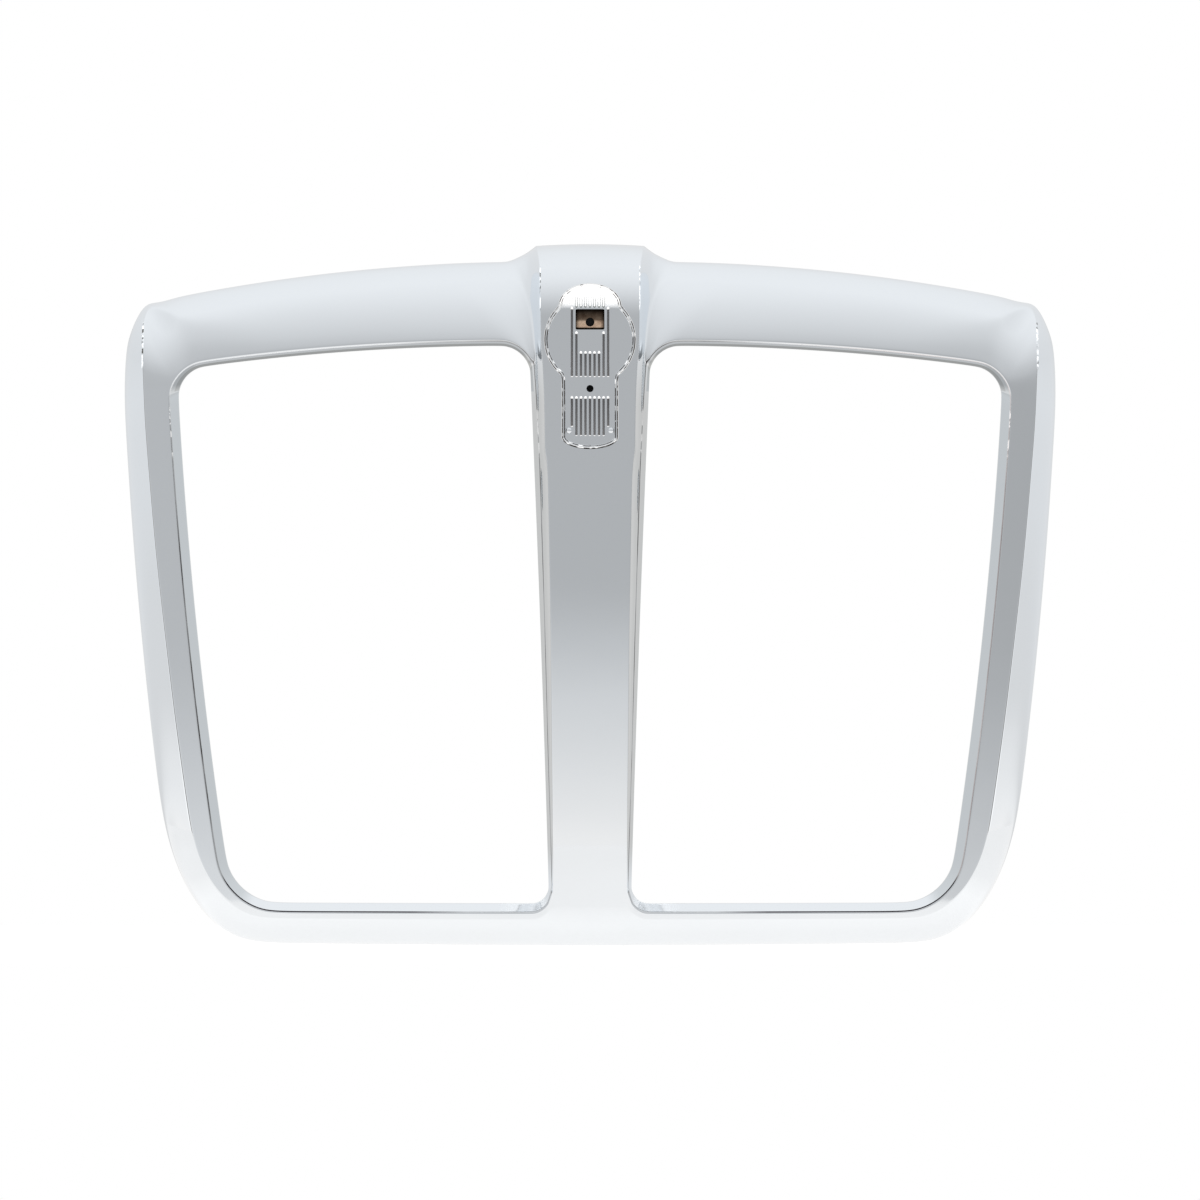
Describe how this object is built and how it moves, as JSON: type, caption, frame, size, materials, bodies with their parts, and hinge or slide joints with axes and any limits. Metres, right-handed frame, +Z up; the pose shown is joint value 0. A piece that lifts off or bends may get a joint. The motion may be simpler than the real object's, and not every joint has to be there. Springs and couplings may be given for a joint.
{
  "type": "truck grille surround",
  "caption": "Chrome-plated grille surround for a truck hood, with two open windows, a centre post, a crown and a badge seat.",
  "frame": {"origin": "under the middle of the part, on its lowest edge, halfway between the badge seat's front and the brackets' rear pads", "axes": "+X to the right seen from the front, +Y to the rear, +Z up; the front faces -Y"},
  "size_m": [1.0544, 0.1568, 0.7936],
  "materials": {
    "chrome": "bright chrome plating on moulded plastic",
    "zinc_steel": "zinc plated",
    "passivated_steel": "dark brown passivated",
    "black_steel": "satin black e-coat",
    "foam": "closed-cell foam"
  },
  "bodies": {
    "root": {"front_shell": "chrome", "badge_seat": "chrome", "badge_bracket": "passivated_steel", "badge_bracket_screw_left": "zinc_steel", "badge_bracket_screw_right": "zinc_steel", "seat_screw_left": "zinc_steel", "seat_screw_right": "zinc_steel", "badge_push_nut": "zinc_steel", "post_brace": "black_steel", "post_brace_screw_1": "black_steel", "post_brace_screw_2": "black_steel", "post_brace_screw_3": "black_steel", "post_brace_screw_4": "black_steel", "crown_bracket": "black_steel", "crown_bracket_screw_1": "black_steel", "crown_bracket_screw_2": "black_steel", "crown_weld_nut": "black_steel", "top_left_bracket": "zinc_steel", "top_left_bracket_screw_1": "zinc_steel", "top_left_bracket_screw_2": "zinc_steel", "top_left_weld_nut": "zinc_steel", "top_right_bracket": "zinc_steel", "top_right_bracket_screw_1": "zinc_steel", "top_right_bracket_screw_2": "zinc_steel", "top_right_weld_nut": "zinc_steel", "side_left_bracket": "zinc_steel", "side_left_bracket_screw_1": "zinc_steel", "side_left_bracket_screw_2": "zinc_steel", "side_left_weld_nut": "zinc_steel", "side_right_bracket": "zinc_steel", "side_right_bracket_screw_1": "zinc_steel", "side_right_bracket_screw_2": "zinc_steel", "side_right_weld_nut": "zinc_steel", "foot_left_bracket": "zinc_steel", "foot_left_bracket_screw_1": "zinc_steel", "foot_left_bracket_screw_2": "zinc_steel", "foot_left_weld_nut": "zinc_steel", "foot_right_bracket": "zinc_steel", "foot_right_bracket_screw_1": "zinc_steel", "foot_right_bracket_screw_2": "zinc_steel", "foot_right_weld_nut": "zinc_steel", "seal_top": "foam", "seal_left": "foam", "seal_right": "foam", "seal_foot": "foam"}
  },
  "joints": []
}
